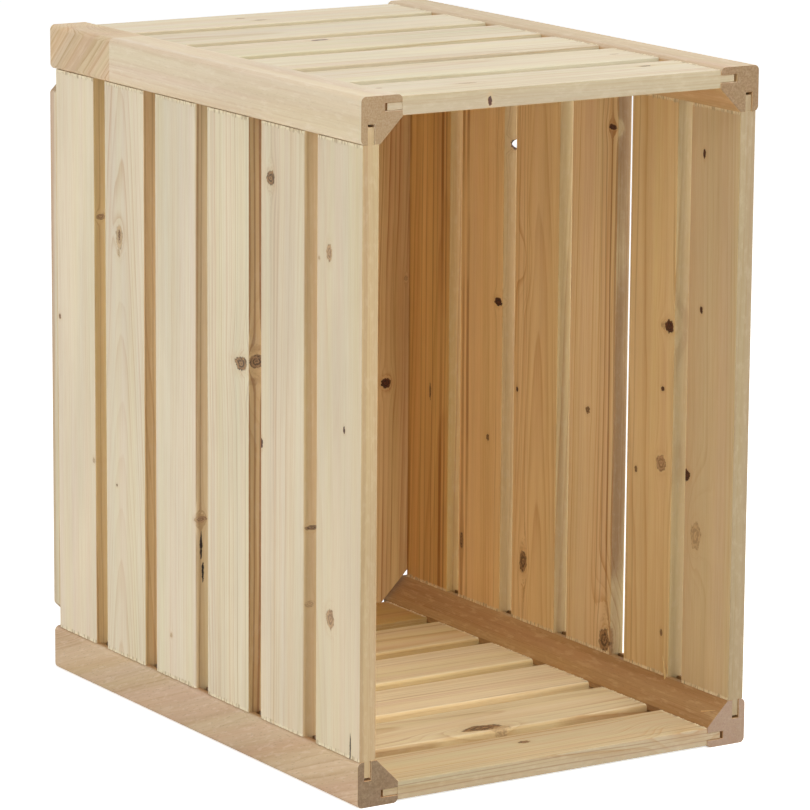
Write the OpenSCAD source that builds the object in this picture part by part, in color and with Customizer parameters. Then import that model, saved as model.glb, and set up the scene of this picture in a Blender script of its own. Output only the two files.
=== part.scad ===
// Slatted wooden storage crate: four double-grooved corner rails, tongued wall slats and a nailed floor.
// It stands on one short end with its mouth towards -Y. Origin: centre of the footprint, at the ground.

/* [Crate] */
// Outside width, across the two long walls
crate_w = 300; // [220:10:400]
// Outside height as it stands, across the two short walls
crate_h = 450; // [340:10:600]
// Length of the corner rails, from the mouth to behind the floor
rail_len = 400; // [360:10:600]

/* [Corner rails] */
// Side of the square stock
rail_side = 30; // [26:1:36]
// Radius on the three corners of the stock that stay
rail_round = 3.5; // [1:0.5:5]
// Wood left between an outer face and its groove
groove_set = 5; // [4:0.5:6]
// Width of a groove
groove_w = 5; // [4:0.25:6]
// Depth of a groove, from the edge that takes the slats
groove_depth = 12.6; // [11.5:0.1:15]
// Wood left on the inner side of a groove at its mouth
lip_t = 4; // [2:0.5:6]

/* [Wall slats] */
// Slats in each wall
slats_per_wall = 6; // [3:1:7]
// Width of a slat
slat_w = 53; // [30:1:60]
// Thickness of a slat
slat_t = 12; // [9:0.5:14]
// Radius on the long edges of a slat
slat_round = 1; // [0.5:0.25:3]
// How far a slat's outer face lies below the rail's
slat_set = 1.5; // [0.5:0.25:2.5]
// Length of the tongue at each end of a slat
tongue_len = 10.8; // [6:0.1:11.3]
// Clearance of a tongue on each side of its groove
tongue_clear = 0.15; // [0.1:0.05:0.4]
// Distance from the rails' front ends back to the first slat
mouth_set = 0.5; // [0:0.5:6]
// Distance from the last slat to the rails' rear ends
floor_set = 5; // [2:0.5:8]

/* [Floor] */
// Boards in the floor
floor_boards = 5; // [3:1:6]
// Gap between floor boards
board_gap = 8; // [3:0.5:14]
// Thickness of a floor board
board_t = 9; // [8:0.5:15]
// Radius on the long edges of a floor board
board_round = 1; // [0.5:0.25:2]
// How far a floor board's ends lie below the rails' outer faces
board_end_set = 3.5; // [0.5:0.25:5]
// Clearance of the cut floor corners from the rails
corner_clear = 2.5; // [1:0.1:6]

/* [Nails] */
// Nails along each outer floor board
side_nails = 4; // [2:1:8]
// Length of a nail under its head
nail_len = 24; // [18:1:30]
// Diameter of a nail
nail_d = 1.8; // [1.4:0.1:2.4]
// Diameter of a nail head
nail_head_d = 4; // [3:0.2:5]
// Thickness of a nail head, sunk flush
nail_head_t = 1; // [0.6:0.1:1.4]
// Length of a nail's point
nail_point = 3; // [1.5:0.5:4]
// Radial clearance of a nail in its hole
nail_clear = 0.1; // [0.05:0.05:0.2]

/* [Hidden] */
WALLS = ["left", "right", "top", "bottom"];

// Facets of a round edge and of a nail
edge_fn = 48;
nail_fn = 32;
// How far a cutter runs past the wood it cuts
past = 1;

// Lines across the crate: the mouth, the last slat's rear edge and the outside of the floor
slat_end = rail_len - floor_set;
crate_len = max(rail_len, slat_end + board_t);
mouth_y = -crate_len / 2;
floor_in_y = mouth_y + slat_end;
floor_out_y = floor_in_y + board_t;

// Distance from an outer face to the inner face of a wall, and to the middle of a slat and its groove
slat_mid = slat_set + slat_t / 2;
groove_end = rail_side - groove_depth;
lip_end = groove_set + groove_w + lip_t;

// Slats share what the rails' length leaves between them
slat_gap = (slat_end - mouth_set - slats_per_wall * slat_w) / (slats_per_wall - 1);
slat_step = slat_w + slat_gap;
tongue_t = groove_w - 2 * tongue_clear;
// The tongue lies on the groove's middle, which need not be the slat's
tongue_off = groove_set + groove_w / 2 - slat_mid;

// Floor boards fill the width between the outer faces of the side slats
floor_w = crate_w - 2 * slat_set;
floor_h = crate_h - 2 * board_end_set;
board_w = (floor_w - (floor_boards - 1) * board_gap) / floor_boards;
board_step = board_w + board_gap;
// The corner cut meets the two outer faces this far from the crate's corner
corner_cut = rail_side + lip_end + corner_clear * sqrt(2);

// Nails: pairs at both ends of the inner boards, a row along each outer one
side_nail_x = crate_w / 2 - slat_mid;
end_nail_z = crate_h / 2 - slat_mid;
side_nail_step = (crate_h - 2 * corner_cut - board_w) / (side_nails - 1);
NAIL_SPOTS = concat(
    [for (i = [1:floor_boards - 2]) for (side = [-1, 1]) for (end = [-1, 1])
        [board_x(i) + side * board_w / 4, end * end_nail_z]],
    [for (side = [-1, 1]) for (k = [0:side_nails - 1])
        [side * side_nail_x, (k - (side_nails - 1) / 2) * side_nail_step]]
);

beech = "#c9ab8c";
spruce = "#dccba8";
floor_spruce = "#cfae80";
steel = "#8e8f90";

function slat_y(i) = mouth_y + mouth_set + slat_w / 2 + (i - 1) * slat_step;
function board_x(i) = (i - (floor_boards - 1) / 2) * board_step;

// What a round edge takes off a square corner at the origin
module corner_waste(r) {
    difference() {
        translate([-past, -past]) square(r + past);
        translate([r, r]) circle(r, $fn = edge_fn);
    }
}

// Bar section w by t about the origin, with its four corners rounded
module rounded_section(w, t, r) {
    difference() {
        square([w, t], center = true);
        for (sx = [0, 1]) for (sy = [0, 1])
            mirror([sx, 0]) mirror([0, sy]) translate([-w / 2, -t / 2]) corner_waste(r);
    }
}

// Rail section with its outer corner at the origin and the crate's inside towards +X and +Y
module rail_section() {
    difference() {
        square(rail_side);
        corner_waste(rail_round);
        translate([rail_side, 0]) mirror([1, 0]) corner_waste(rail_round);
        translate([0, rail_side]) mirror([0, 1]) corner_waste(rail_round);
        translate([groove_set, groove_end]) square([groove_w, groove_depth + past]);
        translate([groove_end, groove_set]) square([groove_depth + past, groove_w]);
        polygon([
            [lip_end - past, rail_side + past],
            [rail_side + past, rail_side + past],
            [rail_side + past, lip_end - past]
        ]);
    }
}

// Rail at one corner: side is -1 at the left and 1 at the right, end is 0 at the ground and 1 above
module rail(side, end) {
    color(beech)
        translate([side * crate_w / 2, mouth_y + rail_len, end * crate_h])
            mirror([(1 + side) / 2, 0, 0]) mirror([0, 0, end])
                rotate([90, 0, 0]) linear_extrude(rail_len) rail_section();
}

// Slat along X with its outer face down and its middle at the origin; span is the width it bridges
module slat(span) {
    body_len = span - 2 * rail_side;
    rotate([90, 0, 90]) linear_extrude(body_len, center = true) rounded_section(slat_w, slat_t, slat_round);
    translate([0, 0, tongue_off])
        cube([body_len + 2 * tongue_len, slat_w, tongue_t], center = true);
}

module side_slat(side, i) {
    color(spruce) difference() {
        translate([side * (crate_w / 2 - slat_mid), slat_y(i), crate_h / 2])
            rotate([0, -side * 90, 0]) slat(crate_h);
        if (i == slats_per_wall) nail_holes();
    }
}

module end_slat(end, i) {
    color(spruce) difference() {
        translate([0, slat_y(i), end * crate_h + (1 - 2 * end) * slat_mid])
            rotate([end * 180, 0, 0]) slat(crate_w);
        if (i == slats_per_wall) nail_holes();
    }
}

// Floor board upright behind the slats; the outer ones lose their corners to clear the rails
module floor_board(i) {
    color(floor_spruce) difference() {
        translate([board_x(i - 1), floor_in_y + board_t / 2, board_end_set])
            linear_extrude(floor_h) rounded_section(board_w, board_t, board_round);
        for (side = [0, 1]) for (end = [0, 1])
            translate([(2 * side - 1) * crate_w / 2, floor_out_y + past, end * crate_h])
                mirror([side, 0, 0]) mirror([0, 0, end])
                    rotate([90, 0, 0]) linear_extrude(board_t + 2 * past)
                        polygon([[-past, -past], [corner_cut + past, -past], [-past, corner_cut + past]]);
        nail_holes();
    }
}

// Nail along -Y from the outside of the floor, its head's outer face at the origin
module nail(clear) {
    rotate([90, 0, 0]) {
        cylinder(h = nail_head_t, d = nail_head_d + 2 * clear, $fn = nail_fn);
        cylinder(h = nail_head_t + nail_len - nail_point + clear, d = nail_d + 2 * clear, $fn = nail_fn);
        translate([0, 0, nail_head_t + nail_len - nail_point + clear])
            cylinder(h = nail_point, d1 = nail_d + 2 * clear, d2 = 2 * clear, $fn = nail_fn);
    }
}

module at_nails() {
    for (spot = NAIL_SPOTS) translate([spot[0], floor_out_y, crate_h / 2 + spot[1]]) children();
}

module nail_holes() {
    at_nails() {
        nail(nail_clear);
        rotate([-90, 0, 0]) cylinder(h = past, d = nail_head_d + 2 * nail_clear, $fn = nail_fn);
    }
}

module floor_nails() {
    color(steel) at_nails() nail(0);
}

rail(-1, 1);  // rail_top_left
rail(1, 1);  // rail_top_right
rail(-1, 0);  // rail_bottom_left
rail(1, 0);  // rail_bottom_right
for (i = [1:slats_per_wall]) {
    side_slat(-1, i);
    side_slat(1, i);
    end_slat(1, i);
    end_slat(0, i);
}
for (i = [1:floor_boards]) {
    floor_board(i);
}
floor_nails();
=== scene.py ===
"""The look of a slatted wooden crate that stands on one short side with its mouth to the front.

Four grooved beech rails run from the mouth to the floor of the crate. Planed spruce slats stand
between them with their tongues in the grooves, and five spruce boards are nailed across the rear
ends as the crate's floor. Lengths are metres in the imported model's frame: X to the right,
Y from the mouth to the crate's floor, Z up.
"""

import math
import random
from collections import namedtuple
from functools import partial

import bmesh
import bpy
from mathutils import Matrix, Vector


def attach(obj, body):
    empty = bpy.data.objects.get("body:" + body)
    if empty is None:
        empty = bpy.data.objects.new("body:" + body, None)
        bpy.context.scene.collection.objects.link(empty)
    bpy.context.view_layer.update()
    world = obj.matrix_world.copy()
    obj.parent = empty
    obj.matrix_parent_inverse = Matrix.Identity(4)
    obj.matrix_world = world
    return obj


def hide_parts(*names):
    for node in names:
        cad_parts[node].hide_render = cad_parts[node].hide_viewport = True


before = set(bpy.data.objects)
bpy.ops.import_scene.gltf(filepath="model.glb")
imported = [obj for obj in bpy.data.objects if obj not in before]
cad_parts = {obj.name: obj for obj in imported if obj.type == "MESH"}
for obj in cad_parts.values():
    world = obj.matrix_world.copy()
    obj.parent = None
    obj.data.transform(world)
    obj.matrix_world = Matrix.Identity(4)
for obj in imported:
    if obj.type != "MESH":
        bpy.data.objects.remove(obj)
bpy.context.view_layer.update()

MM = 0.001

# The crate's own sizes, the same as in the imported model.
crate_w = 300 * MM
crate_h = 450 * MM
mouth_y = -202 * MM
rail_len = 400 * MM
rail_side = 30 * MM
rail_round = 3.5 * MM
rail_ease = 0.35 * MM
groove_set = 5 * MM
groove_w = 5 * MM
groove_bed = 17.4 * MM
lip_t = 4 * MM

slat_w = 53 * MM
slat_t = 12 * MM
slat_pitch = 68.3 * MM
slat_ease = 0.6 * MM
worn_round = 2.3 * MM
slat_set = 1.5 * MM
slats_per_wall = 6
first_slat_y = -175 * MM
tongue_len = 10.8 * MM
tongue_t = 4.7 * MM
tongue_ease = 0.3 * MM

board_w = 53 * MM
board_t = 9 * MM
board_pitch = 61 * MM
board_round = 1 * MM
floor_boards = 5
floor_mid_y = 197.5 * MM
corner_cut = 47.54 * MM
board_end_set = 3.5 * MM

# The directions a piece of wood is worked in: along its grain, across its width, and through it.
Lay = namedtuple("Lay", "along across deep")
UPRIGHT = Lay(Vector((0, 0, 1)), Vector((0, 1, 0)), Vector((-1, 0, 0)))
LEVEL = Lay(Vector((1, 0, 0)), Vector((0, 1, 0)), Vector((0, 0, 1)))
FLOOR = Lay(Vector((0, 0, 1)), Vector((1, 0, 0)), Vector((0, 1, 0)))
RAIL = Lay(Vector((0, 1, 0)), Vector((0, 0, 1)), Vector((1, 0, 0)))


def place(lay, middle):
    """The matrix from a piece's own directions, x along, y across and z through, to the crate."""
    turn = Matrix((lay.along, lay.across, lay.deep)).transposed()
    return Matrix.Translation(middle) @ turn.to_4x4()


# Wood materials


def paint(hex_colour):
    """An sRGB hex colour as linear red, green, blue and alpha."""
    parts = [int(hex_colour[i : i + 2], 16) / 255 for i in (1, 3, 5)]
    return [c / 12.92 if c <= 0.04045 else ((c + 0.055) / 1.055) ** 2.4 for c in parts] + [1.0]


def add(tree, kind, *values, **more):
    """A node of one kind, given back as its outputs.

    Names in small letters are its settings, and names with a capital are its inputs. Plain values
    go to the inputs it has in use, in order. An output is linked, any other value is set.
    """
    node = tree.nodes.new("ShaderNode" + kind)
    for name, value in more.items():
        if name.islower():
            setattr(node, name, value)
    given = list(zip([socket for socket in node.inputs if socket.enabled], values))
    given += [(node.inputs[name], more[name]) for name in more if not name.islower()]
    for socket, value in given:
        if isinstance(value, bpy.types.NodeSocket):
            tree.links.new(value, socket)
        else:
            socket.default_value = value
    return node.outputs


# Settings that many nodes share. The colour of a Mix node comes from its output 2.
smooth = {"interpolation_type": "SMOOTHSTEP"}
colours = {"data_type": "RGBA"}
toned = {"data_type": "RGBA", "blend_type": "MULTIPLY"}


def new_material(name):
    """A new material, its node tree and its Principled shader."""
    made = bpy.data.materials.new(name)
    made.use_nodes = True
    tree = made.node_tree
    shader = tree.nodes["Principled BSDF"]
    return made, tree, shader


# A knot lies in a piece at across and along, from the middle of its face, and its half width and
# half length are in mm too. One in an edge also has its place and half size through the piece.
# A tight knot has grown into the wood, a dead one has a ring of black bark, a soft one has no rim,
# and a faint one hardly differs from the wood round it. A slit is a crack or resin pocket, and a
# swirl is only the grain's own oval arches, with no knot in them.
Knot = namedtuple("Knot", "kind across along half_w half_l deep half_d", defaults=(0, 60))

# What each kind of knot shows: its heart's and rim's colours, how fully it covers the wood, and
# how strongly the wood round it is darkened.
KNOT_LOOKS = {
    "faint": ("#CBAA7C", "#8C6842", 0.65, 0.35),
    "soft": ("#C29C72", "#7D5A38", 0.88, 0.4),
    "tight": ("#A67F54", "#3A2310", 0.95, 0.6),
    "dead": ("#62300F", "#120602", 1.0, 0.7),
    "slit": ("#2A170C", "#120904", 1.0, 0.2),
}
# The ragged edge of a knot wanders by a share of its half size, and never by more than this.
ragged_share = 0.75
ragged_most = 2.4 * MM
# A knot less deep than this, in mm, is in an edge, and the grain parts round it there too. Along
# the grain it closes again more slowly than across.
through_knot = 20
along_slower = (0.4, 1, 1)
# A knot's rim has bulges of this size for a knot of size 1, and other ones from knot to knot.
bulge_size = (1.5, 1.5, 1.5)
bulge_step = 900
# The grain swells over a knot in an oval this many times its size, by a share of its half width.
# A swirl is such an oval by itself.
knot_swell = (2.6, 0.8)
swirl_swell = (1.0, 0.5)

# What sets one piece of wood off from the next: its early, late and streak colours, the growth
# ring's width, where the tree's pith lay, how strongly the rings and the broad bands show, how
# much they wander and taper, the colours that its cut ends, its sawn edges and its inner face
# are toned with, and how strongly its dark dashes and its pale silky flecks show.
# The edge and inner tones are partly painted shade: they darken and warm the edges that face the
# front and the gaps, and the crate's inside.
Wood = namedtuple(
    "Wood",
    "early late streak ring pith contrast bands wander taper end edge inner dashes flecks "
    "roughness",
)
# Curly grain in a piece: where along it the curl starts, in mm, how far it leans, the tone of the
# wood there, and how much stronger its lines are.
Curl = namedtuple("Curl", "start lean tone lines")
curl_blur = 0.0004

# Each piece has its own wood, as if it were cut this far on from the last one in an endless log.
log_steps = (1.731, 0.377, 0.591)

# The wood's patterns, as spots to a metre along, across and through the grain. 1000 over such a
# number is the spot's size in mm. Real fibres are 0.05 mm wide: they are drawn 1 mm wide and
# 45 mm long, and the hairs half as wide, so that they show.
FIBRES = (22.0, 950.0, 950.0)
HAIRS = (60.0, 2100.0, 2100.0)
# Broad bands 10 mm wide, clouds 55 mm wide, and the places where the rings show strongly.
BANDS = (2.2, 95.0, 95.0)
CLOUDS = (5.0, 18.0, 18.0)
TINTS = (2.6, 85.0, 85.0)
STRONG_PLACES = (4.0, 30.0, 30.0)
# The rings' slow drift, 70 mm wide, and their waver, 11 mm wide and this much weaker.
DRIFT = (3.0, 14.0, 14.0)
WAVER = (12.0, 90.0, 90.0)
waver_share = 0.22
# Beech rays: dark dashes 7 mm long and 1 mm wide, and pale silky flecks 13 mm long.
DASHES = (150.0, 900.0, 900.0)
FLECKS = (75.0, 330.0, 330.0)
fleck_white = "#FFF4E2"
# Breaks in the long streaks, fuzz on sawn edges, torn shoulders, and open pores in cut ends.
BREAKS = (9.0, 60.0, 60.0)
FUZZ = (120.0, 300.0, 300.0)
fuzz_white = "#EADCC4"
TORN = (60.0, 640.0, 640.0)
torn_white = "#F6E9C6"
# Dark marks among the torn fibres: partly nicks, partly painted shadow between them.
nick_and_shadow_brown = "#977748"
PORES = (300.0, 700.0, 700.0)
# In and round the knots: 2 mm mottling, and 5 mm patches where bark has stayed.
MOTTLE = (520.0, 520.0, 520.0)
PATCHES = (190.0, 190.0, 190.0)
# The middle value of a pattern in each of its three colours.
half = (0.5, 0.5, 0.5)


# What is at hand while one piece's wood is made: the call that adds a node to its material, its
# kind of wood, a point's place in the piece and in the log, and how far along the piece it lies.
Bench = namedtuple("Bench", "put wood own in_log length_on")


def set_up(put, wood, own, seed, curl):
    """The bench for a piece, its grain's own directions, and where it is curly, if anywhere: past
    a line across curly wood the grain leans over, so that the rings cross the face."""
    length_on = put("SeparateXYZ", own)[0]
    leaning = own
    curly = None
    if curl:
        start = curl.start * MM
        curly = put("MapRange", length_on, start - curl_blur, start + curl_blur, **smooth)[0]
        lean = put("Math", length_on, start, operation="SUBTRACT")[0]
        lean = put("Math", lean, 0.0, operation="MAXIMUM")[0]
        lean = put("Math", lean, curl.lean, operation="MULTIPLY")[0]
        leaning = put("VectorMath", own, put("CombineXYZ", 0.0, lean)[0], operation="ADD")[0]
    log_place = [seed * step for step in log_steps]
    in_log = put("VectorMath", leaning, log_place, operation="ADD")[0]
    return Bench(put, wood, own, in_log, length_on), leaning, curly


def spots(bench, to_a_metre, detail=2.0, rough=0.5):
    """Soft spots in the log, so many to a metre along, across and through the grain."""
    point = bench.put("VectorMath", bench.in_log, to_a_metre, operation="MULTIPLY")[0]
    return bench.put("TexNoise", point, 1.0, detail, rough)


def wandering(bench, leaning):
    """The grain of a tree whose pith isn't straight: it drifts a few mm, and wavers a little."""
    put = bench.put
    drift = put("VectorMath", spots(bench, DRIFT)["Color"], half, operation="SUBTRACT")[0]
    waver = put("VectorMath", spots(bench, WAVER)["Color"], half, operation="SUBTRACT")[0]
    far = bench.wood.wander * MM
    fine = bench.wood.wander * MM * waver_share
    bent = put("VectorMath", drift, (0, far, far), leaning, operation="MULTIPLY_ADD")[0]
    return put("VectorMath", waver, (0, fine, fine), bent, operation="MULTIPLY_ADD")[0]


def swell_over(bench, knot, size, spot):
    """How far the grain swells over one knot, in a long oval."""
    put = bench.put
    oval, share = swirl_swell if knot.kind == "swirl" else knot_swell
    apart = put("VectorMath", bench.own, spot, operation="SUBTRACT")[0]
    apart = put("VectorMath", apart, size * oval, operation="DIVIDE")[0]
    apart = put("VectorMath", apart, operation="LENGTH")["Value"]
    return put("MapRange", apart, 0.0, 1.0, knot.half_w * share * MM, 0.0, **smooth)[0]


def away_from(bench, size, spot, rough_edge):
    """The way from one knot's middle, in half sizes of it, and its length, 1 at the ragged rim.
    The rim bulges in and out as one goes round it, differently for each knot."""
    put = bench.put
    tear = [min(ragged_share * part, ragged_most) for part in (size.x, size.y, size.y)]
    ragged = put("VectorMath", rough_edge, tear, bench.own, operation="MULTIPLY_ADD")[0]
    away = put("VectorMath", ragged, spot, operation="SUBTRACT")[0]
    away = put("VectorMath", away, size, operation="DIVIDE")[0]
    toward = put("VectorMath", away, operation="NORMALIZE")[0]
    own_bulge = spot * bulge_step
    toward = put("VectorMath", toward, bulge_size, own_bulge, operation="MULTIPLY_ADD")[0]
    bulge = put("TexNoise", toward, 1.0, 4.0, 0.65)[0]
    bulge = put("MapRange", bulge, 0.3, 0.7, 0.86, 1.18, **smooth)[0]
    reach = put("VectorMath", away, operation="LENGTH")["Value"]
    return away, put("Math", reach, bulge, operation="MULTIPLY")[0]


def pushed_aside(bench, knot, size, away, bent):
    """The grain where it parts round one knot, as water does round a post."""
    put = bench.put
    pushed = (0, size.y, size.z if knot.half_d < through_knot else 0)
    slow = put("VectorMath", away, along_slower, operation="MULTIPLY")[0]
    square = put("VectorMath", slow, operation="LENGTH")["Value"]
    square = put("Math", square, 2.0, operation="POWER")[0]
    square = put("Math", square, 1.0, operation="MAXIMUM")[0]
    push = put("Math", -1.0, square, operation="DIVIDE")[0]
    slow = put("VectorMath", slow, pushed, operation="MULTIPLY")[0]
    return put("VectorMath", slow, push, bent, operation="MULTIPLY_ADD")[0]


def grow_knots(bench, knots, bent):
    """The grain as the piece's knots bend it, how far it swells over them, and for each kind of
    knot how far off the nearest one is."""
    put = bench.put
    rough_edge = spots(bench, MOTTLE, detail=4.0)["Color"]
    rough_edge = put("VectorMath", rough_edge, half, operation="SUBTRACT")[0]
    nearest = {}
    swell = None
    for knot in knots:
        size = Vector((knot.half_l, knot.half_w, knot.half_d)) * MM
        spot = Vector((knot.along, knot.across, knot.deep)) * MM
        if knot.kind != "slit":
            rise = swell_over(bench, knot, size, spot)
            swell = put("Math", swell, rise, operation="ADD")[0] if swell else rise
        if knot.kind == "swirl":
            continue
        away, reach = away_from(bench, size, spot, rough_edge)
        if knot.kind != "slit":
            bent = pushed_aside(bench, knot, size, away, bent)
        if knot.kind in nearest:
            reach = put("Math", nearest[knot.kind], reach, operation="MINIMUM")[0]
        nearest[knot.kind] = reach
    return bent, swell, nearest


def ring_lines(bench, bent, swell, stronger):
    """Growth rings: pale early wood that darkens into a thin hard line, then starts pale again."""
    put = bench.put
    pith_across, pith_deep = bench.wood.pith
    pith = (0, pith_across * MM, pith_deep * MM)
    radius = put("VectorMath", bent, pith, operation="SUBTRACT")[0]
    radius = put("VectorMath", radius, (0, 1, 1), operation="MULTIPLY")[0]
    radius = put("VectorMath", radius, operation="LENGTH")["Value"]
    radius = put("Math", bench.length_on, bench.wood.taper, radius, operation="MULTIPLY_ADD")[0]
    if swell:
        radius = put("Math", radius, swell, operation="ADD")[0]
    years = put("Math", radius, 1 / (bench.wood.ring * MM), operation="MULTIPLY")[0]
    uneven = put("TexNoise", years, 0.35, 2.0, noise_dimensions="1D")[0]
    years = put("Math", uneven, 2.2, years, operation="MULTIPLY_ADD")[0]
    in_year = put("Math", years, operation="FRACT")[0]
    year = put("Math", years, operation="FLOOR")[0]
    luck = put("TexWhiteNoise", year, noise_dimensions="1D")["Value"]
    line = put("Math", in_year, 3.2, operation="POWER")[0]
    shares = [
        put("MapRange", in_year, 0.9, 1.0, 1.0, 0.0, **smooth)[0],
        put("MapRange", luck, 0.0, 1.0, 0.15, 1.4)[0],
        put("MapRange", spots(bench, STRONG_PLACES)[0], 0.3, 0.62, 0.35, 1.1, **smooth)[0],
    ]
    if stronger:
        shares.append(stronger)
    for share in shares:
        line = put("Math", line, share, operation="MULTIPLY")[0]
    return line


def grain_colour(bench, line, fibres, hairs):
    """Early wood darkened by the rings' lines, the broad bands, the fibres and the hairs."""
    put = bench.put
    wood = bench.wood
    strength = put("Math", line, wood.contrast, operation="MULTIPLY")[0]
    for pattern, low, high, share in (
        (spots(bench, BANDS, detail=3.0)[0], 0.36, 0.72, wood.bands),
        (fibres, 0.3, 0.75, 0.15),
        (hairs, 0.4, 0.75, 0.09),
    ):
        shown = put("MapRange", pattern, low, high, **smooth)[0]
        strength = put("Math", shown, share, strength, operation="MULTIPLY_ADD")[0]
    strength = put("Math", strength, 1.0, operation="MINIMUM")[0]
    body = put("Mix", strength, paint(wood.early), paint(wood.late), **colours)[2]
    shade = put("MapRange", spots(bench, CLOUDS)[0], 0.3, 0.7, 0.93, 1.03, **smooth)[0]
    body = put("Mix", 1.0, body, put("CombineColor", shade, shade, shade)[0], **toned)[2]
    tint = spots(bench, TINTS)["Color"]
    return put("Mix", 0.11, body, tint, data_type="RGBA", blend_type="OVERLAY")[2]


def facing(bench, normal, lay, outward):
    """How far a face is an edge, the crate's inside, or a cut end."""
    put = bench.put
    across, inward, along = [
        put("VectorMath", normal, way, operation="DOT_PRODUCT")["Value"]
        for way in (lay.across, -Vector(outward), lay.along)
    ]
    across, along = [put("Math", way, operation="ABSOLUTE")[0] for way in (across, along)]
    on_edge = put("MapRange", across, 0.45, 0.85, **smooth)[0]
    on_inside = put("MapRange", inward, 0.1, 0.7, **smooth)[0]
    on_end = put("MapRange", along, 0.55, 0.8, **smooth)[0]
    return on_edge, on_inside, on_end


def draw_streaks(bench, body, bent, on_edge, streaks, edge_streaks_and_shade):
    """The long brown streaks and bark lines of a piece's faces, at their places across it, and the
    darker lines of its edges at their places through it, some of them painted shade."""
    put = bench.put
    bent_on = put("SeparateXYZ", bent)
    broken = spots(bench, BREAKS, detail=3.0)[0]
    broken = put("MapRange", broken, 0.32, 0.55, 0.35, 1.0, **smooth)[0]
    marks = [(bent_on[1], mark, broken) for mark in streaks]
    marks += [(bent_on[2], mark, on_edge) for mark in edge_streaks_and_shade]
    for reading, (mark_at, half_w, dark), shown in marks:
        off = put("Math", reading, mark_at * MM, operation="SUBTRACT")[0]
        off = put("Math", off, operation="ABSOLUTE")[0]
        mark = put("MapRange", off, half_w * 0.35 * MM, half_w * MM, dark, 0.0, **smooth)[0]
        mark = put("Math", mark, shown, operation="MULTIPLY")[0]
        body = put("Mix", mark, body, paint(bench.wood.streak), **colours)[2]
    return body


def show_rays(bench, body):
    """Beech shows its rays: short dark dashes, and pale silky flecks."""
    put = bench.put
    wood = bench.wood
    if wood.dashes:
        dash = put("VectorMath", bench.in_log, DASHES, operation="MULTIPLY")[0]
        dash = put("TexVoronoi", dash, 1.0)["Distance"]
        dash = put("MapRange", dash, 0.1, 0.26, 1.0, 0.0, **smooth)[0]
        dash = put("Math", dash, wood.dashes, operation="MULTIPLY")[0]
        body = put("Mix", dash, body, paint(wood.end), **colours)[2]
    if wood.flecks:
        fleck = spots(bench, FLECKS, detail=3.0, rough=0.6)[0]
        fleck = put("MapRange", fleck, 0.52, 0.66, **smooth)[0]
        fleck = put("Math", fleck, wood.flecks, operation="MULTIPLY")[0]
        body = put("Mix", fleck, body, paint(fleck_white), **colours)[2]
    return body


def tone_faces(bench, body, on_edge, on_inside, on_end, fuzzy):
    """The outer faces were sanded pale. Sawn edges, with the saw's pale fuzz on them, are toned
    browner, partly their own colour and partly painted shade; the inner faces are toned with
    painted shade of the crate's inside, and the cut ends drink the light, their pores more so."""
    put = bench.put
    # Edges toned browner: partly their sawn colour, partly painted shade.
    sawn_and_shaded_edge_body = put("Mix", 1.0, body, paint(bench.wood.edge), **toned)[2]
    body = put("Mix", on_edge, body, sawn_and_shaded_edge_body, **colours)[2]
    if fuzzy:
        fuzz = spots(bench, FUZZ, detail=4.0, rough=0.7)[0]
        fuzz = put("MapRange", fuzz, 0.48, 0.68, 0.0, 0.08, **smooth)[0]
        fuzz = put("Math", fuzz, on_edge, operation="MULTIPLY")[0]
        body = put("Mix", fuzz, body, paint(fuzz_white), **colours)[2]
    # Inner faces toned browner and warmer: painted shade of the crate's inside.
    shaded_inner_body = put("Mix", 1.0, body, paint(bench.wood.inner), **toned)[2]
    body = put("Mix", on_inside, body, shaded_inner_body, **colours)[2]
    drunk = spots(bench, PORES, detail=3.0, rough=0.7)[0]
    drunk = put("MapRange", drunk, 0.3, 0.7, 0.8, 0.95, **smooth)[0]
    drunk = put("Math", on_end, drunk, operation="MULTIPLY")[0]
    return put("Mix", drunk, body, paint(bench.wood.end), **colours)[2]


def show_torn_shoulders(bench, body, relief, on_edge, shoulder):
    """Against the rails the saw frayed the shoulders: pale torn fibres, with a few dark marks,
    partly nicks and partly painted shadow between the fibres.
    """
    put = bench.put
    torn = spots(bench, TORN, detail=3.0, rough=0.7)[0]
    from_middle = put("Math", bench.length_on, operation="ABSOLUTE")[0]
    frayed = put("Math", torn, 5.0 * MM, from_middle, operation="MULTIPLY_ADD")[0]
    frayed = put("MapRange", frayed, shoulder, shoulder + 1.2 * MM, **smooth)[0]
    for share in (
        put("MapRange", from_middle, shoulder, shoulder + 0.2 * MM, 1.0, 0.0, **smooth)[0],
        put("MapRange", on_edge, 0.2, 0.8, 1.0, 0.0, **smooth)[0],
    ):
        frayed = put("Math", frayed, share, operation="MULTIPLY")[0]
    pale = put("Math", frayed, 0.6, operation="MULTIPLY")[0]
    body = put("Mix", pale, body, paint(torn_white), **colours)[2]
    # Dark marks: partly nicks, partly painted shadow among the torn fibres.
    nick_and_shadow = put("MapRange", torn, 0.5, 0.58, **smooth)[0]
    nick_and_shadow = put("Math", nick_and_shadow, frayed, operation="MULTIPLY")[0]
    nick_and_shadow = put("Math", nick_and_shadow, 0.55, operation="MULTIPLY")[0]
    body = put("Mix", nick_and_shadow, body, paint(nick_and_shadow_brown), **colours)[2]
    return body, put("Math", frayed, 0.9, relief, operation="MULTIPLY_ADD")[0]


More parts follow.
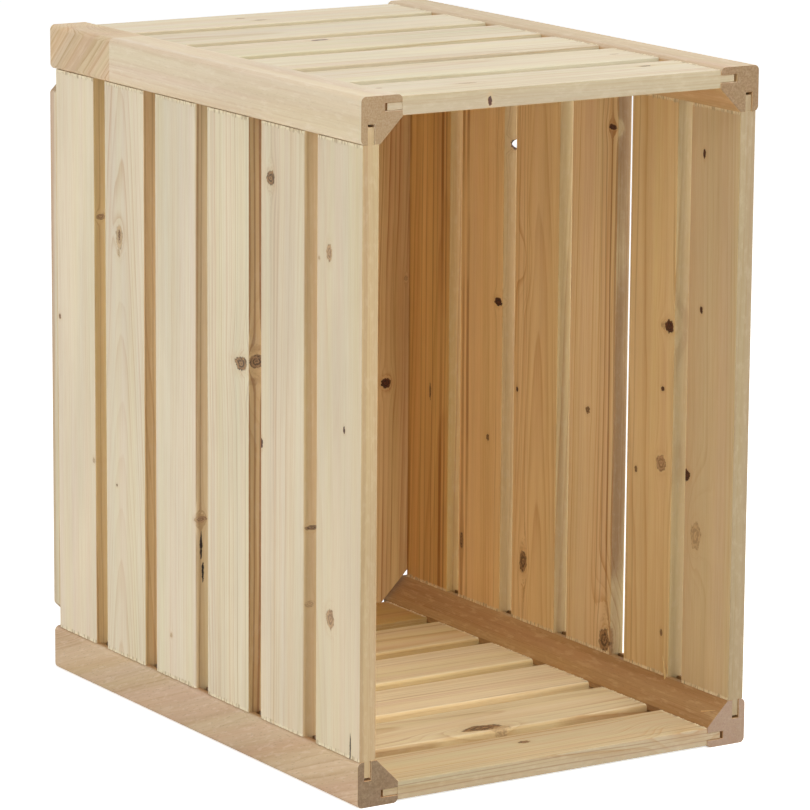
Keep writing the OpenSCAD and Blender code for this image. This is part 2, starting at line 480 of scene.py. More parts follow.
def show_knots(bench, body, relief, nearest):
    """Knots: rings from heart to rim, a dark eye, broken bark, and darker wood round them."""
    put = bench.put
    mottle = spots(bench, MOTTLE, detail=4.0, rough=0.65)[0]
    patches = spots(bench, PATCHES, detail=1.0)[0]
    for kind in [kind for kind in KNOT_LOOKS if kind in nearest]:
        heart, rim, cover, halo = KNOT_LOOKS[kind]
        reach = nearest[kind]
        rings = put("Math", reach, 10.0, operation="MULTIPLY")[0]
        rings = put("Math", mottle, 6.0, rings, operation="MULTIPLY_ADD")[0]
        rings = put("Math", rings, operation="SINE")[0]
        rings = put("MapRange", rings, -0.3, 0.8, 0.0, 0.85, **smooth)[0]
        grown = put("Mix", rings, paint(heart), paint(rim), **colours)[2]
        eye = put("Math", mottle, 0.5, reach, operation="MULTIPLY_ADD")[0]
        eye = put("MapRange", eye, 0.3, 0.55, 0.85, 0.0, **smooth)[0]
        bark = put("MapRange", reach, 0.55, 0.9, **smooth)[0]
        for reading, low, high, at_low, at_high in (
            (reach, 1.0, 1.2, 1.0, 0.0),
            (mottle, 0.38, 0.56, 0.25, 1.0),
            (patches, 0.4, 0.55, 0.15, 1.0),
        ):
            share = put("MapRange", reading, low, high, at_low, at_high, **smooth)[0]
            bark = put("Math", bark, share, operation="MULTIPLY")[0]
        bark = put("Math", eye, bark, operation="MAXIMUM")[0]
        grown = put("Mix", bark, grown, paint(rim), **colours)[2]
        glow = put("MapRange", reach, 0.9, 2.6, 0.5, 0.0, **smooth)[0]
        glow = put("Math", glow, halo, operation="MULTIPLY")[0]
        broken = put("MapRange", mottle, 0.35, 0.65, 0.4, 1.0, **smooth)[0]
        glow = put("Math", glow, broken, operation="MULTIPLY")[0]
        body = put("Mix", glow, body, paint(bench.wood.late), **colours)[2]
        within = put("MapRange", reach, 0.92, 1.12, 1.0, 0.0, **smooth)[0]
        within = put("Math", within, cover, operation="MULTIPLY")[0]
        body = put("Mix", within, body, grown, **colours)[2]
        raised = -1.5 if kind == "slit" else 0.5
        relief = put("Math", within, raised, relief, operation="MULTIPLY_ADD")[0]
    return body, relief


def wood_material(
    name, wood, lay, middle, outward, seed,
    knots=(), streaks=(), edge_streaks_and_shade=(), shoulder=0, curl=None,
):
    """Sawn and planed wood: growth rings round the tree's pith, cut by the piece's own faces, so
    that a face shows lines or arches, the end shows arcs, and the grain runs round each knot."""
    made, tree, shader = new_material(name)
    put = partial(add, tree)
    to_piece = place(lay, middle).inverted()
    on_crate = put("TexCoord")
    own = put("Mapping", on_crate["Object"], to_piece.to_translation(), to_piece.to_euler())[0]
    bench, leaning, curly = set_up(put, wood, own, seed, curl)
    bent, swell, nearest = grow_knots(bench, knots, wandering(bench, leaning))
    stronger = put("Math", curly, curl.lines, 1.0, operation="MULTIPLY_ADD")[0] if curl else None
    line = ring_lines(bench, bent, swell, stronger)
    fibres = spots(bench, FIBRES, detail=3.0, rough=0.6)[0]
    hairs = spots(bench, HAIRS, rough=0.6)[0]

    body = grain_colour(bench, line, fibres, hairs)
    on_edge, on_inside, on_end = facing(bench, on_crate["Normal"], lay, outward)
    if streaks or edge_streaks_and_shade:
        body = draw_streaks(bench, body, bent, on_edge, streaks, edge_streaks_and_shade)
    body = show_rays(bench, body)
    if curl:
        curly_body = put("Mix", 1.0, body, paint(curl.tone), **toned)[2]
        body = put("Mix", curly, body, curly_body, **colours)[2]
    body = tone_faces(bench, body, on_edge, on_inside, on_end, shoulder)

    # The relief is the fibres', with the hard lines a little sunk.
    relief = put("Math", line, -0.35 * wood.contrast, operation="MULTIPLY")[0]
    relief = put("Math", fibres, 0.6, relief, operation="MULTIPLY_ADD")[0]
    relief = put("Math", hairs, 0.35, relief, operation="MULTIPLY_ADD")[0]
    if shoulder:
        body, relief = show_torn_shoulders(bench, body, relief, on_edge, shoulder)
    if nearest:
        body, relief = show_knots(bench, body, relief, nearest)

    bump = put("Bump", Height=relief, Strength=0.45, Distance=0.35 * MM)[0]
    gleam = (wood.roughness - 0.06, wood.roughness + 0.08)
    sheen = put("MapRange", fibres, 0.2, 0.8, *gleam, **smooth)[0]
    tree.links.new(body, shader.inputs["Base Color"])
    tree.links.new(bump, shader.inputs["Normal"])
    tree.links.new(sheen, shader.inputs["Roughness"])
    return made


# Planed spruce: pale straw early wood with thin honey lines; dry, unvarnished, hardly any sheen.
spruce = Wood(
    early="#EADEC3", late="#C7A06C", streak="#9A6A35", ring=2.6, pith=(14, -46), contrast=0.5,
    bands=0.18, wander=6.0, taper=0.012, end="#A98656", edge="#F0E2C8", inner="#FFF6E2", dashes=0,
    flecks=0, roughness=0.62,
)
# The long walls' inner faces are toned golden: painted shade of the crate's inside, warmer and
# darker than the lamps alone make it.
wall_spruce = spruce._replace(inner="#FFEDCA")
# The floor's spruce comes from redder heartwood boards with stronger grain.
heart_spruce = spruce._replace(
    early="#E6D2AA", late="#B07C46", ring=2.4, contrast=0.7, bands=0.35, edge="#FFFFFF",
    inner="#FFF2D8",
)
# Planed beech: even pinkish tan with faint rings and short brown ray flecks, a little smoother.
beech = Wood(
    early="#DCC5A4", late="#BC9970", streak="#8B6A46", ring=1.7, pith=(40, 55), contrast=0.3,
    bands=0.3, wander=7.0, taper=0.006, end="#A5855D", edge="#FFFFFF", inner="#F2DFC2",
    dashes=0.12, flecks=0.16, roughness=0.55,
)

# What the photograph shows of single pieces: where the pith lay across and through, in mm, and
# what else differs from their kind.
GRAIN = {
    # The edge tones below are partly painted light and shade: grey and darker on the front slats,
    # the right slats and the top slats, whose edges face the front and the gaps, and pale on the
    # bottom slats.
    "left_slat_1": dict(pith=(30, 70), contrast=0.25, bands=0.08, early="#E3D4B6", edge="#CABDA5"),
    "left_slat_2": dict(pith=(-38, 34), contrast=0.4, bands=0.15, early="#E7D9BD", edge="#F0DCBA"),
    "left_slat_3": dict(pith=(34, 22), contrast=0.55, bands=0.15, edge="#E6CFAC"),
    "left_slat_4": dict(pith=(-90, 60), contrast=0.3, bands=0.12, edge="#F6EACE"),
    "left_slat_5": dict(pith=(6, 26), contrast=0.55, bands=0.12, taper=0.05, edge="#F4DEBC"),
    "left_slat_6": dict(early="#F0E1C5", pith=(70, 80), contrast=0.15, bands=0.06, edge="#FBECC4"),
    "right_slat_1": dict(
        pith=(50, -60), contrast=0.35, bands=0.15, inner="#F1E5CE", edge="#AEA28D"
    ),
    "right_slat_2": dict(pith=(24, -40), contrast=0.45, bands=0.2, edge="#DCCBA6"),
    "right_slat_3": dict(
        pith=(-36, -26), contrast=0.6, bands=0.2, early="#EFE5D4", edge="#DCCBA6"
    ),
    "right_slat_4": dict(
        pith=(-2, -18), contrast=0.6, bands=0.2, taper=0.03, early="#F0E3C7", edge="#DCCBA6"
    ),
    "right_slat_5": dict(pith=(40, -44), contrast=0.5, bands=0.25, early="#F6E4C5", edge="#D6C39C"),
    "right_slat_6": dict(pith=(-20, -60), contrast=0.8, bands=0.5, early="#EED6A6", edge="#E2CFA6"),
    "top_slat_1": dict(edge="#C2BCB0", contrast=0.35),
    "top_slat_2": dict(edge="#E2E3DC"),
    "top_slat_3": dict(edge="#E2E3DC"),
    "top_slat_4": dict(edge="#E2E3D8"),
    "top_slat_5": dict(edge="#E6E8DE"),
    "top_slat_6": dict(edge="#E6E8E0"),
    "bottom_slat_1": dict(
        early="#DDD5BE", edge="#CDC1B1", pith=(60, -30), contrast=0.8, taper=0.02
    ),
    # Bottom slats 2 to 5 get no inner toning, and 2 to 4 paler early wood: partly painted light
    # where the light through the mouth falls on them. The darker wood of slats 5 and 6 is partly
    # painted shade at the back of the crate.
    "bottom_slat_2": dict(
        early="#F1E3BC", inner="#FFFFFF", edge="#F6EAD2", contrast=0.8, pith=(10, -30), taper=0.03
    ),
    "bottom_slat_3": dict(early="#F9EAC6", inner="#FFFFFF", edge="#F6EAD2", contrast=0.6),
    "bottom_slat_4": dict(early="#F5E6BE", inner="#FFFFFF", edge="#F6EAD2", contrast=0.6),
    "bottom_slat_5": dict(early="#E0CB9D", inner="#FFFFFF", edge="#F6EAD2", contrast=0.6),
    "bottom_slat_6": dict(inner="#E4D2A8", early="#D4B986", late="#AF834D"),
    "floor_board_1": dict(early="#E8DBBF"),
}
KNOTS = {
    "left_slat_1": [
        Knot("soft", 12, 123, 3.2, 5.4), Knot("faint", 24, 118, 1.2, 1.4),
        Knot("dead", -6.5, 14, 1.1, 2.4), Knot("soft", 9, -110, 4.4, 6.4),
        Knot("slit", -15.5, -188, 0.7, 9.5),
    ],
    "left_slat_2": [
        Knot("tight", 15.0, 160, 4.8, 4.8), Knot("dead", 25.5, -13, 1.6, 3.2),
        Knot("tight", -26.5, -58.5, 1.2, 1.5, 0, 5.2), Knot("faint", -26.5, -108, 2.0, 2.0, 1, 4.0),
    ],
    "left_slat_3": [
        Knot("tight", -17, 34.5, 7.0, 4.6), Knot("tight", -26.5, 37, 2.4, 4.4, 0.2, 5.4),
        Knot("swirl", -24, 36, 20, 60),
    ],
    "left_slat_4": [
        Knot("faint", 6.5, -166, 1.6, 1.6), Knot("soft", -26.5, -80.5, 3.0, 2.0, 2.5, 4.6),
        Knot("slit", -26.5, -98, 2.0, 9.0, 2.0, 0.9), Knot("slit", -26.5, -116, 2.0, 6.5, 0.8, 0.8),
    ],
    "left_slat_5": [
        Knot("faint", 7, 93, 4.8, 8.0), Knot("tight", 7, 94, 1.4, 3.4),
        Knot("tight", 12, -78, 1.0, 1.0), Knot("faint", 8, 82, 1.6, 3.0),
    ],
    "left_slat_6": [
        Knot("faint", -24, -67, 1.8, 2.0), Knot("soft", -26.5, 101, 1.0, 1.8, 1, 3.6),
        Knot("tight", 23, 25, 1.6, 1.8),
    ],
    "right_slat_1": [
        Knot("dead", 12, 163, 1.4, 3.2), Knot("dead", 12, 60, 1.5, 2.4),
        Knot("faint", 13.5, -92, 5.5, 9.0), Knot("swirl", 13, -84, 24, 64),
        Knot("dead", 24.5, -53, 3.4, 3.8, 6, 4.0),
    ],
    "right_slat_2": [
        Knot("tight", 14.4, -60, 1.4, 2.4), Knot("soft", -14.5, -50.5, 5.6, 5.4),
        Knot("tight", -18, -166, 1.6, 2.4), Knot("dead", -15, 0, 1.9, 1.6),
        Knot("dead", -21, 43, 4.8, 4.2, 6, 4.0), Knot("faint", -16, 43, 4.5, 2.4),
    ],
    "right_slat_3": [
        Knot("dead", -20.5, 167, 4.4, 2.0, 6, 4.0), Knot("tight", 4, -30, 2.4, 2.6),
        Knot("tight", -20, -186, 6.0, 8.0, 6, 6.0), Knot("swirl", -22, -180, 24, 70),
    ],
    "right_slat_4": [
        Knot("dead", 22, -31, 1.2, 2.0),
        Knot("tight", 11.9, -152, 4.4, 7.4), Knot("swirl", 14, 60, 14, 40),
    ],
    "right_slat_5": [
        Knot("dead", -21.5, 26.5, 4.4, 2.7, 6, 4.0), Knot("tight", -10, -72, 1.8, 2.2),
        Knot("tight", 22.5, -153, 2.0, 5.5, 6, 4.0), Knot("dead", -26.5, 137.5, 9.8, 4.0, -6, 6.3),
    ],
    "right_slat_6": [Knot("tight", -3.0, -52, 1.2, 6.0)],
    "floor_board_5": [Knot("dead", -4.3, -49.8, 4.2, 3.6), Knot("faint", 12, 25.3, 1.6, 1.8)],
    "bottom_slat_1": [Knot("tight", 8, -1.3, 2.4, 4.6), Knot("swirl", -4, 104, 34, 46)],
    "bottom_slat_2": [
        Knot("tight", -18, -7, 5.6, 13.5), Knot("faint", -24, 4, 3.0, 8.0),
        Knot("swirl", -18, -12, 20, 60),
    ],
    "top_slat_1": [
        Knot("faint", 10, -114, 1.6, 2.2), Knot("dead", -26.5, -56, 1.4, 1.4, -1.6, 3.2),
        Knot("faint", 2, -54, 2.0, 7.0), Knot("tight", 12, 88, 1.8, 4.5),
    ],
    "top_slat_2": [Knot("faint", 1, 104, 1.4, 3.6)],
    "top_slat_4": [Knot("dead", 18.5, -27, 1.7, 6.5)],
    "top_slat_6": [Knot("soft", -8, -7, 1.6, 5.0), Knot("soft", 6, -16, 1.4, 4.0)],
}
# Where a loose knot fell out of a slat and left a hole, a little smaller than the knot's stain.
KNOT_HOLES = {"right_slat_5": Knot("dead", -26.5, 137.5, 9.0, 3.3, -6, 5.5)}
# Long streaks: place across, half width, darkness. The edges' darker lines, at places through them,
# are listed next, some of them painted shade.
STREAKS = {
    "left_slat_2": [(10.0, 1.2, 0.22), (6.5, 1.0, 0.2), (13.5, 0.8, 0.2)],
    "left_slat_3": [(-22.0, 0.7, 0.25), (19.0, 0.5, 0.25), (-12.0, 0.5, 0.2), (10.0, 0.5, 0.2)],
    "right_slat_2": [(16.0, 1.0, 0.3), (22.0, 0.8, 0.25), (-24.0, 1.2, 0.2)],
    "right_slat_3": [
        (-26.0, 1.3, 0.6), (-20.5, 1.2, 0.75), (-15.0, 0.9, 0.5), (-10.0, 0.8, 0.4),
        (-5.0, 0.5, 0.2),
    ],
    "right_slat_4": [(22.0, 0.8, 0.3), (16.0, 0.7, 0.35), (12.0, 0.6, 0.35), (9.0, 0.5, 0.2)],
    "right_slat_5": [(22.5, 2.2, 0.55), (16.5, 2.4, 0.7), (-20.0, 0.6, 0.3)],
    # Right slat 6's first streak, broad and beside the floor boards, is painted shade in the
    # corner.
    "right_slat_6": [
        (24.5, 2.0, 0.5), (9.0, 1.0, 0.4), (3.0, 0.8, 0.35), (-5.0, 1.0, 0.5), (-10.0, 0.8, 0.4),
        (-16.5, 2.6, 0.85), (-21.5, 1.4, 0.6),
    ],
    "bottom_slat_1": [(-20.0, 0.8, 0.4), (-13.0, 0.6, 0.3), (22.0, 1.0, 0.3)],
    "bottom_slat_2": [(-25.5, 1.2, 0.5), (14.0, 0.7, 0.3)],
    "bottom_slat_3": [(-24.0, 0.8, 0.35), (4.0, 0.6, 0.3)],
    "bottom_slat_4": [(10.0, 0.7, 0.35), (-12.0, 0.6, 0.3)],
    "bottom_slat_5": [(0.0, 1.0, 0.4), (18.0, 1.4, 0.5)],
    "floor_board_5": [(-18.0, 0.6, 0.3), (-12.0, 0.5, 0.25), (2.0, 0.5, 0.25), (16.0, 0.6, 0.3)],
    "top_slat_1": [(-14.0, 0.7, 0.3), (-20.0, 0.6, 0.25)],
}
# Darker lines along the slats' edges: place through, half width, darkness. Left slat 1's broad line
# is painted shade on its rounded outer corner; the lines about 5 mm through darken the outer border
# of the left slats' edges; the others are darker lines along the grain.
EDGE_STREAKS_AND_SHADE = {
    "left_slat_1": [(4.6, 2.2, 0.25)],
    "left_slat_2": [(5.2, 1.0, 0.4)],
    "left_slat_3": [(5.2, 1.1, 0.7), (1.4, 0.9, 0.55), (-2.8, 1.4, 0.75), (-5.2, 0.7, 0.4)],
    "left_slat_4": [(5.2, 1.0, 0.6), (2.4, 0.6, 0.4)],
    "left_slat_5": [(5.0, 0.8, 0.35), (-0.6, 0.9, 0.3)],
    "left_slat_6": [(5.2, 1.0, 0.5), (0.8, 0.5, 0.25)],
    "bottom_slat_1": [(2.9, 0.5, 0.45), (0.6, 0.4, 0.3), (-2.4, 0.5, 0.4)],
}

# The edges that were planed rounder than the rest, so that daylight shows between two slats: the
# signs of their places across and through the slat.
WORN_EDGES = {
    "left_slat_2": (-1, 1), "left_slat_4": (-1, 1),
    "right_slat_2": (1, 1), "right_slat_3": (-1, -1), "right_slat_4": (-1, -1),
    "right_slat_5": (-1, -1), "right_slat_6": (-1, -1), "bottom_slat_2": (-1, 1),
    "bottom_slat_3": (-1, 1), "bottom_slat_4": (-1, 1), "bottom_slat_5": (-1, 1),
}

# Each rail's beech, and its curly grain if it has some.
RAIL_WOOD = {
    "rail_top_left": (
        beech._replace(early="#E8D6B8", late="#CDAE86", end="#83643A"),
        Curl(117, 0.9, "#F8EFE3", 2.6),
    ),
    "rail_top_right": (beech._replace(early="#DEC8A6", end="#705024"), None),
    "rail_bottom_left": (
        beech._replace(end="#684F31", dashes=0.28), Curl(-200, 0.35, "#FBF4F0", 0.8)
    ),
    # Its inner face is toned darker and browner: painted shade in the crate's inside corner.
    "rail_bottom_right": (
        beech._replace(
            end="#8D725D", inner="#D8C09C", dashes=0.28, flecks=0.3, contrast=0.55, bands=0.55
        ),
        None,
    ),
}

# Pieces

luck_of_the_pile = random.Random(12)
saw_marks = random.Random(5)

# Where in its log a piece was cut, in mm from the pith, and how far rings and contrast differ.
pith_across = 70
pith_deep = (22, 75)
ring_spread = (0.8, 1.3)
contrast_spread = (0.7, 1.2)

# Torn fibres at a slat's shoulder: how many, what share is on the face that the photograph shows,
# how far from the slat's middle they reach as a share of its width, and their sizes.
frays_per_shoulder = 16
fray_share_shown = 0.7
fray_reach = 0.46
fray_lengths = (0.8, 3.0)
fray_half_widths = (0.5, 1.6)
fray_height = 0.4 * MM
fray_tip_share = 0.15

# Facets of a rounded edge, and of the rails' rounded corners.
edge_steps = 3
rail_corner_steps = 8
rail_end_steps = 2


def cut_of(node, base):
    """The wood of one piece, sawn from its own place in a tree."""
    across = luck_of_the_pile.uniform(-pith_across, pith_across)
    deep = luck_of_the_pile.choice((-1, 1)) * luck_of_the_pile.uniform(*pith_deep)
    ring = base.ring * luck_of_the_pile.uniform(*ring_spread)
    contrast = base.contrast * luck_of_the_pile.uniform(*contrast_spread)
    wood = base._replace(ring=ring, pith=(across, deep), contrast=contrast)
    return wood._replace(**GRAIN.get(node, {}))


def bring(shell, name, at, node, made):
    """A finished shell set in its place in the crate, standing for a node unless that is None."""
    bmesh.ops.transform(shell, matrix=at, verts=shell.verts)
    bmesh.ops.recalc_face_normals(shell, faces=shell.faces)
    mesh = bpy.data.meshes.new(name)
    shell.to_mesh(mesh)
    shell.free()
    mesh.materials.append(made)
    piece = bpy.data.objects.new(name, mesh)
    bpy.context.scene.collection.objects.link(piece)
    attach(piece, "root")
    if node:
        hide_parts(node)


def round_over(shell, edges, radius, steps):
    """Edges rounded with a plane."""
    bmesh.ops.bevel(
        shell, geom=edges, offset=radius, offset_type="OFFSET",
        segments=steps, profile=0.5, affect="EDGES", material=-1,
    )


def slat_blank(length, worn):
    """A planed strip, its length along x, with its four long edges rounded, the worn one more."""
    shell = bmesh.new()
    size = Matrix.Diagonal((length, slat_w, slat_t, 1))
    bmesh.ops.create_cube(shell, size=1, matrix=size)
    long_edges = [e for e in shell.edges if abs(e.verts[0].co.x - e.verts[1].co.x) > length / 2]
    if worn:
        worn_edges = [
            e for e in long_edges
            if e.verts[0].co.y * worn[0] > 0 and e.verts[0].co.z * worn[1] > 0
        ]
        long_edges = [e for e in long_edges if e not in worn_edges]
        round_over(shell, worn_edges, worn_round, 2 * edge_steps)
        long_edges = [e for e in long_edges if e.is_valid]
    round_over(shell, long_edges, slat_ease, edge_steps)
    return shell


def fray_shoulders(shell, shoulders):
    """Torn fibres at a slat's two shoulders: short flat wedges that point away from the rail."""
    for way in (-1, 1):
        for _ in range(frays_per_shoulder):
            face = 1 if saw_marks.random() < fray_share_shown else -1
            across = saw_marks.uniform(-fray_reach, fray_reach) * slat_w
            length = saw_marks.uniform(*fray_lengths) * MM
            width = saw_marks.uniform(*fray_half_widths) * MM
            root = Matrix.Translation((way * (shoulders - length) / 2, across, face * slat_t / 2))
            aim = Matrix.Rotation(-way * math.pi / 2, 4, "Y")
            flat = Matrix.Diagonal((fray_height / width, 1, 1, 1))
            bmesh.ops.create_cone(
                shell, cap_ends=True, cap_tris=False, segments=6, radius1=width,
                radius2=width * fray_tip_share, depth=length, matrix=root @ aim @ flat,
            )


def knock_out(shell, knot):
    """The shell with a hole where a knot fell out of it: a stretched ball taken away."""
    ball = bmesh.new()
    spot = Vector((knot.along, knot.across, knot.deep)) * MM
    size = Matrix.Diagonal((knot.half_l * MM, knot.half_w * MM, knot.half_d * MM, 1))
    stretched = Matrix.Translation(spot) @ size
    bmesh.ops.create_icosphere(ball, subdivisions=4, radius=1, matrix=stretched)
    blanks = []
    for form in (shell, ball):
        mesh = bpy.data.meshes.new("blank")
        form.to_mesh(mesh)
        form.free()
        blanks.append(bpy.data.objects.new("blank", mesh))
        bpy.context.scene.collection.objects.link(blanks[-1])
    cutter = blanks[0].modifiers.new("knot_hole", "BOOLEAN")
    cutter.operation = "DIFFERENCE"
    cutter.object = blanks[1]
    drilled = bmesh.new()
    drilled.from_object(blanks[0], bpy.context.evaluated_depsgraph_get())
    for blank in blanks:
        bpy.data.meshes.remove(blank.data)
    return drilled


def make_slat(node, lay, middle, outward, shoulders, wood, seed):
    """A slat between two rails: a rounded strip with a tongue stepped in at each end."""
    shell = slat_blank(shoulders, WORN_EDGES.get(node))
    for way in (-1, 1):
        end = [f for f in shell.faces if f.normal.x * way > 0.9]
        step = bmesh.ops.extrude_discrete_faces(shell, faces=end)["faces"]
        narrower = (1, 1 - 2 * tongue_ease / slat_w, tongue_t / slat_t)
        bmesh.ops.scale(shell, vec=narrower, verts=step[0].verts)
        tip = bmesh.ops.extrude_discrete_faces(shell, faces=step)["faces"]
        bmesh.ops.translate(shell, vec=(way * tongue_len, 0, 0), verts=tip[0].verts)
    if node in KNOT_HOLES:
        shell = knock_out(shell, KNOT_HOLES[node])
    fray_shoulders(shell, shoulders)
    made = wood_material(
        "planed_spruce_" + node, wood, lay, middle, outward, seed,
        KNOTS.get(node, ()), STREAKS.get(node, ()), EDGE_STREAKS_AND_SHADE.get(node, ()), shoulders / 2,
    )
    bring(shell, node + "_planed", place(lay, middle), node, made)


def make_sliver(name, foot, tip, half_w, made):
    """A sliver of wood still hanging on at its foot: a flat spike from foot to tip."""
    way = tip - foot
    shell = bmesh.new()
    bmesh.ops.create_cone(
        shell, cap_ends=True, cap_tris=False, segments=8,
        radius1=half_w, radius2=half_w * sliver_tip_share, depth=way.length,
        matrix=Matrix.Diagonal((sliver_flatness, 1, 1, 1)),
    )
    at = Matrix.Translation((foot + tip) / 2) @ way.to_track_quat("Z", "Y").to_matrix().to_4x4()
    bring(shell, name, at, None, made)


def make_board(node, middle_x, wood, seed):
    """A floor board across the rails' rear ends. The outer two lose their corners to the cut."""
    middle = Vector((middle_x, floor_mid_y, crate_h / 2))
    length = crate_h - 2 * board_end_set
    shell = bmesh.new()
    size = Matrix.Diagonal((length, board_w, board_t, 1))
    bmesh.ops.create_cube(shell, size=1, matrix=size)
    for end in (-1, 1):
        for side in (-1, 1):
            corner = Vector((end * crate_h / 2, side * crate_w / 2 - middle_x, 0))
            slope = Vector((end, side, 0)).normalized()
            cut_at = corner - slope * corner_cut / math.sqrt(2)
            cut = bmesh.ops.bisect_plane(
                shell, geom=shell.verts[:] + shell.edges[:] + shell.faces[:],
                plane_co=cut_at, plane_no=slope, clear_outer=True,
            )
            rim = [g for g in cut["geom_cut"] if isinstance(g, bmesh.types.BMEdge)]
            if rim:
                bmesh.ops.edgeloop_fill(shell, edges=rim)
    round_over(shell, shell.edges[:], board_round, edge_steps)
    made = wood_material(
        "sawn_spruce_" + node, wood, FLOOR, middle, (0, 1, 0), seed,
        KNOTS.get(node, ()), STREAKS.get(node, ()),
    )
    bring(shell, node + "_sawn", place(FLOOR, middle), node, made)


def make_rail(node, side, end, seed):
    """A corner rail with two grooves at right angles, a sloping inner face and rounded corners."""
    groove_end = groove_set + groove_w
    lip_end = groove_end + lip_t
    half = [
        (rail_side, 0), (rail_side, groove_set), (groove_bed, groove_set),
        (groove_bed, groove_end), (rail_side, groove_end), (rail_side, lip_end),
    ]
    outline = [(0, 0)] + half + [(b, a) for a, b in reversed(half)]
    shell = bmesh.new()
    front = shell.faces.new([shell.verts.new((a, 0, b)) for a, b in outline])
    rounded = [v for v in front.verts if v.co.x + v.co.z <= rail_side and v.co.x * v.co.z == 0]
    bmesh.ops.bevel(
        shell, geom=rounded, offset=rail_round, offset_type="OFFSET",
        segments=rail_corner_steps, profile=0.5, affect="VERTICES", material=-1,
    )
    rear = bmesh.ops.extrude_face_region(shell, geom=shell.faces[:])["geom"]
    rear_verts = [g for g in rear if isinstance(g, bmesh.types.BMVert)]
    bmesh.ops.translate(shell, vec=(0, rail_len, 0), verts=rear_verts)
    bmesh.ops.recalc_face_normals(shell, faces=shell.faces)
    ends = [e for e in shell.edges if abs(e.verts[0].co.y - e.verts[1].co.y) < rail_ease]
    round_over(shell, ends, rail_ease, rail_end_steps)
    corner = Vector((side * crate_w / 2, mouth_y, crate_h if end > 0 else 0))
    at = Matrix.Translation(corner) @ Matrix.Diagonal((-side, 1, -end, 1))
    middle = corner + Vector((-side * rail_side / 2, rail_len / 2, -end * rail_side / 2))
    outward = Vector((side, 0, end)).normalized()
    wood, curl = RAIL_WOOD[node]
    made = wood_material("planed_beech_" + node, wood, RAIL, middle, outward, seed, curl=curl)
    bring(shell, node + "_grooved", at, node, made)


# The walls: name, lay, middle across and up, length with the rails, and which way is out.
slat_mid = slat_set + slat_t / 2
walls = [
    ("left", UPRIGHT, -crate_w / 2 + slat_mid, crate_h / 2, crate_h, (-1, 0, 0)),
    ("right", UPRIGHT, crate_w / 2 - slat_mid, crate_h / 2, crate_h, (1, 0, 0)),
    ("top", LEVEL, 0, crate_h - slat_mid, crate_w, (0, 0, 1)),
    ("bottom", LEVEL, 0, slat_mid, crate_w, (0, 0, -1)),
]
seed = 1
for wall, lay, x, z, reach, outward in walls:
    for i in range(slats_per_wall):
        node = f"{wall}_slat_{i + 1}"
        middle = Vector((x, first_slat_y + i * slat_pitch, z))
        shoulders = reach - 2 * rail_side
        kind = spruce if lay is LEVEL else wall_spruce
        make_slat(node, lay, middle, outward, shoulders, cut_of(node, kind), seed)
        seed += 1
for i in range(floor_boards):
    node = f"floor_board_{i + 1}"
    make_board(node, (i - (floor_boards - 1) / 2) * board_pitch, cut_of(node, heart_spruce), seed)
    seed += 1
for node, side, end in (
    ("rail_top_left", -1, 1), ("rail_top_right", 1, 1),
    ("rail_bottom_left", -1, -1), ("rail_bottom_right", 1, -1),
):
    make_rail(node, side, end, seed)
    seed += 1

# Two slivers of torn spruce that the saw left, a little yellower than planed wood and three times
# as wide as they are thick: one stands at the foot of a right slat, one lies on a rail's end.
sliver_flatness = 0.35
sliver_tip_share = 0.2
sliver_wood = wood_material(
    "torn_spruce_slivers", spruce._replace(early="#E3CC9E"), UPRIGHT,
    Vector((0.136, -0.132, 0.036)), (1, 0, 0), seed,
)
make_sliver(
    "standing_sliver", Vector((0.1358, -0.1322, 0.0265)), Vector((0.1330, -0.1318, 0.0450)),
    1.3 * MM, sliver_wood,
)
make_sliver(
    "lying_sliver", Vector((0.1262, -0.1860, 0.0204)), Vector((0.1282, -0.1990, 0.0240)),
    0.6 * MM, sliver_wood,
)

# Bright drawn wire nails: grey steel, turned dull by handling, with darker spots of first rust
# about 1 mm wide.
rust_spots = 900.0
steel, steel_tree, steel_shader = new_material("drawn_steel_nail")
rust = add(steel_tree, "TexNoise", add(steel_tree, "TexCoord")["Object"], rust_spots, 3.0)[0]
dull = add(steel_tree, "ValToRGB", rust)[0]
stops = dull.node.color_ramp.elements
for stop, (amount, colour) in zip(stops, ((0.38, "#6F6457"), (0.56, "#A3A4A6"))):
    stop.position = amount
    stop.color = paint(colour)
steel_tree.links.new(dull, steel_shader.inputs["Base Color"])
steel_shader.inputs["Metallic"].default_value = 1.0
steel_shader.inputs["Roughness"].default_value = 0.42
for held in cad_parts["floor_nails"].material_slots:
    held.material = steel

# Floor, light and camera

# Matt white paper on the ground, which the camera sees a little lighter so that it stays white
# where the lamps don't reach. Shadows stay on it.
floor_reach = 12
paper_lift = 0.64
floor_shell = bmesh.new()
bmesh.ops.create_grid(floor_shell, x_segments=1, y_segments=1, size=floor_reach)
floor_mesh = bpy.data.meshes.new("pale_floor")
floor_shell.to_mesh(floor_mesh)
floor_shell.free()
floor = bpy.data.objects.new("pale_floor", floor_mesh)
bpy.context.scene.collection.objects.link(floor)
paper, paper_tree, paper_shader = new_material("matt_white_paper")
paper_shader.inputs["Base Color"].default_value = paint("#F4F4F2")
paper_shader.inputs["Roughness"].default_value = 0.9
paper_shader.inputs["Emission Color"].default_value = (1, 1, 1, 1)
seen = add(paper_tree, "LightPath")["Is Camera Ray"]
lift = add(paper_tree, "Math", seen, paper_lift, operation="MULTIPLY")[0]
paper_tree.links.new(lift, paper_shader.inputs["Emission Strength"])
floor_mesh.materials.append(paper)

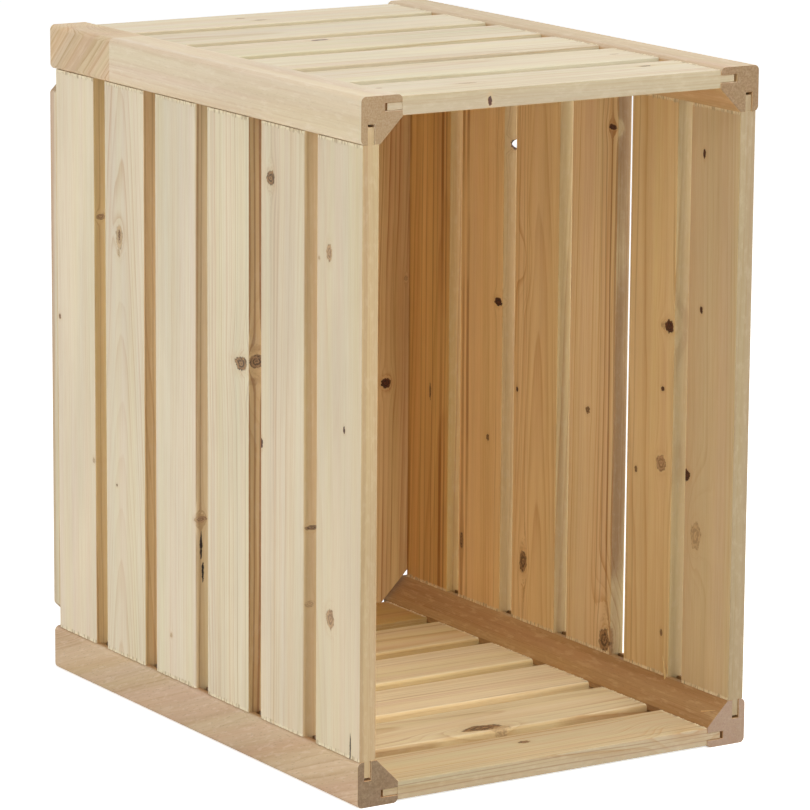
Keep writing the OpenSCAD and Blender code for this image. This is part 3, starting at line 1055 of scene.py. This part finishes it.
# A white room: it looks white to the camera, in gloss and through glass, and lights more softly.
room_light = 0.3
world = bpy.data.worlds.new("white_room")
bpy.context.scene.world = world
world.use_nodes = True
room = world.node_tree
backdrop = room.nodes["Background"]
backdrop.inputs["Color"].default_value = (1, 1, 1, 1)
ray = add(room, "LightPath")
shown = add(room, "Math", ray["Is Camera Ray"], ray["Is Glossy Ray"], operation="MAXIMUM")[0]
shown = add(room, "Math", shown, ray["Is Transmission Ray"], operation="MAXIMUM")[0]
brightness = add(room, "MapRange", shown, 0.0, 1.0, room_light, 1.0)[0]
room.links.new(brightness, backdrop.inputs["Strength"])

# Square soft lamps turned to the crate's middle: name, place, side and power in watts.
crate_middle = Vector((0, 0, crate_h / 2))
for name, at, side, power in (
    ("window_left", (-3.0, 0.3, 0.8), 1.8, 30.2),
    ("overhead", (0, 0, 3.0), 2.0, 17.5),
    ("low_front", (-1.0, -3.0, 0.7), 1.5, 5.5),
    ("high_front", (0, -2.4, 2.2), 1.0, 38),
    ("front_right", (1.2, -3.0, 0.9), 1.0, 25),
    ("window_right", (2.52, -0.85, 0.9), 1.5, 24),
):
    lamp = bpy.data.lights.new(name, "AREA")
    lamp.size = side
    lamp.energy = power
    stand = bpy.data.objects.new(name, lamp)
    stand.location = at
    stand.rotation_euler = (crate_middle - Vector(at)).to_track_quat("-Z", "Y").to_euler()
    bpy.context.scene.collection.objects.link(stand)

# A long lens from the left and a little above, the picture's middle just right of the crate's.
camera_at = Vector((-1.6502, -2.6155, 0.8550))
sight = Vector((0.5248, 0.8261, -0.2052))
camera_roll = math.radians(0.42)
eye = bpy.data.cameras.new("camera")
eye.lens = 209.7
eye.sensor_width = 36
camera = bpy.data.objects.new("camera", eye)
camera.location = camera_at
aim = sight.to_track_quat("-Z", "Y").to_matrix() @ Matrix.Rotation(camera_roll, 3, "Z")
camera.rotation_euler = aim.to_euler()
bpy.context.scene.collection.objects.link(camera)
bpy.context.scene.camera = camera

bpy.context.scene.view_settings.view_transform = "Standard"
